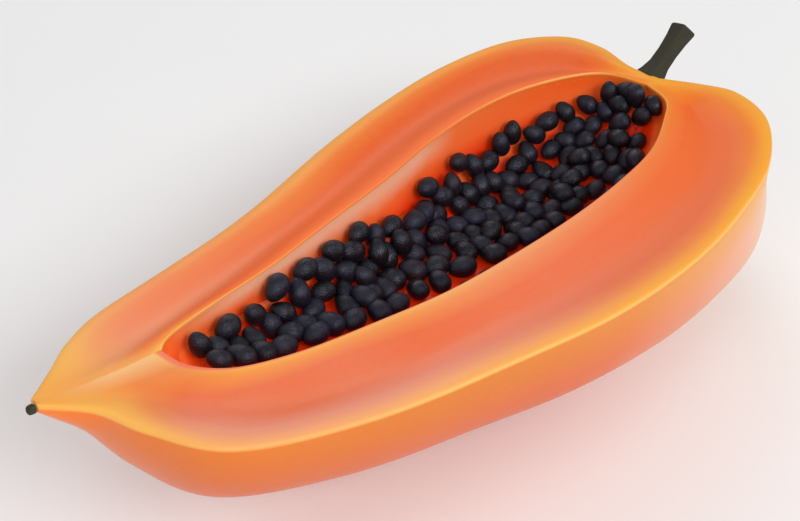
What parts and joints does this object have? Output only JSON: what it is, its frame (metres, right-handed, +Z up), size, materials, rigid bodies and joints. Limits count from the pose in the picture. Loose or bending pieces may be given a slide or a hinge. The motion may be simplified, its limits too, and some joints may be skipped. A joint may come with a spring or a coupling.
{
  "type": "halved papaya",
  "caption": "Ripe papaya cut in half lengthwise, lying cut face up, with an open cavity full of dark seeds, a short stalk and a dried blossom tip.",
  "frame": {"origin": "middle of the small flat spot on the rounded back that the fruit rests on", "axes": "+Z up out of the cut face, +X along the fruit from the pointed blossom tip towards the stalk, +Y across the cut face"},
  "size_m": [0.1961, 0.0919, 0.0549],
  "materials": {
    "flesh": "smooth moist flesh, satin, orange-red with a yellow-orange band along the skin",
    "seed": "near-black, finely wrinkled, satin",
    "stalk": "dark green-grey, ridged, dry",
    "blossom": "dried, dark olive-brown"
  },
  "bodies": {
    "root": {"papaya_half": "flesh", "seeds": "seed", "stem": "stalk", "blossom_tip": "blossom"}
  },
  "joints": []
}
